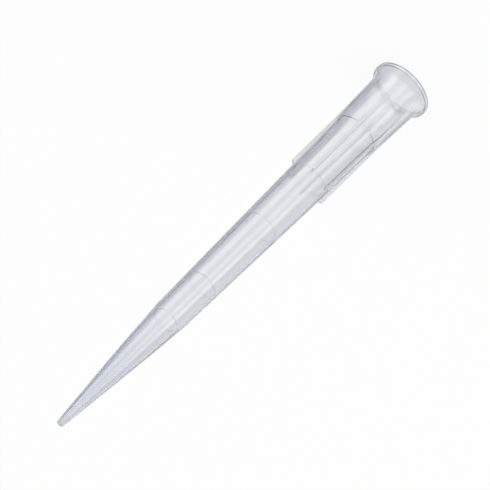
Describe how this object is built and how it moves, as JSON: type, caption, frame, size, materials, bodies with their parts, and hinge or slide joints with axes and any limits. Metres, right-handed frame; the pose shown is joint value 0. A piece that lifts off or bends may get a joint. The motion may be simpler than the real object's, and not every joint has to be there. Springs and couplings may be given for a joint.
{
  "type": "pipette tip",
  "caption": "Slim tapered tube with a fine nose, lengthwise fins and a flared mouth, pushed onto a pipette to draw up and dispense liquid.",
  "frame": {"origin": "centre of the mouth, on the flat end face of its rim", "axes": "+Z along the tip's own axis towards the nose; one of the fins points along -Y"},
  "size_m": [0.0092, 0.0092, 0.078],
  "materials": {
    "clear_polypropylene": "clear, slightly milky polypropylene with a smooth moulded surface"
  },
  "bodies": {
    "root": {"tip": "clear_polypropylene"}
  },
  "joints": []
}
